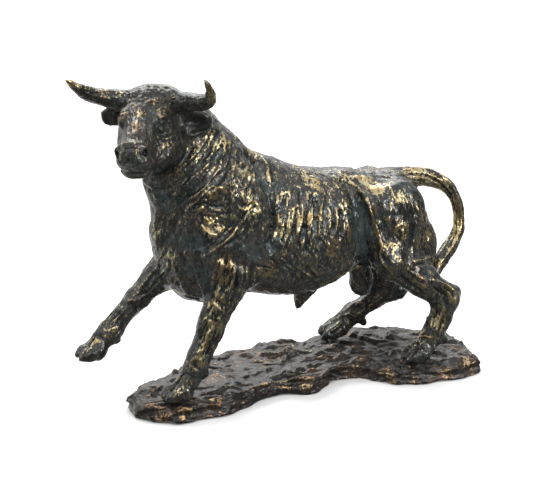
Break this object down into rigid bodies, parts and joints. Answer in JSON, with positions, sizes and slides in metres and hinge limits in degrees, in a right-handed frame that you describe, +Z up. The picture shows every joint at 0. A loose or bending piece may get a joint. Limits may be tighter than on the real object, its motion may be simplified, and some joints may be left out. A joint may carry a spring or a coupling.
{
  "type": "bull figurine",
  "caption": "Cast bull striding over a thin slab of rock, its head turned to its left, one foreleg raised and its tail curled down to the hock.",
  "frame": {"origin": "middle of the bounding box in plan, on the flat underside of the rock", "axes": "+X from the bull's head towards its tail, +Y to the bull's right, +Z up"},
  "size_m": [0.3, 0.1124, 0.234],
  "materials": {
    "bronze_patina": "satin dark green-black bronze patina, rubbed gold on the high relief",
    "rock_patina": "satin dark brown bronze patina, rubbed copper and gold on the edges"
  },
  "bodies": {
    "root": {"rock_base": "rock_patina", "bull": "bronze_patina"}
  },
  "joints": []
}
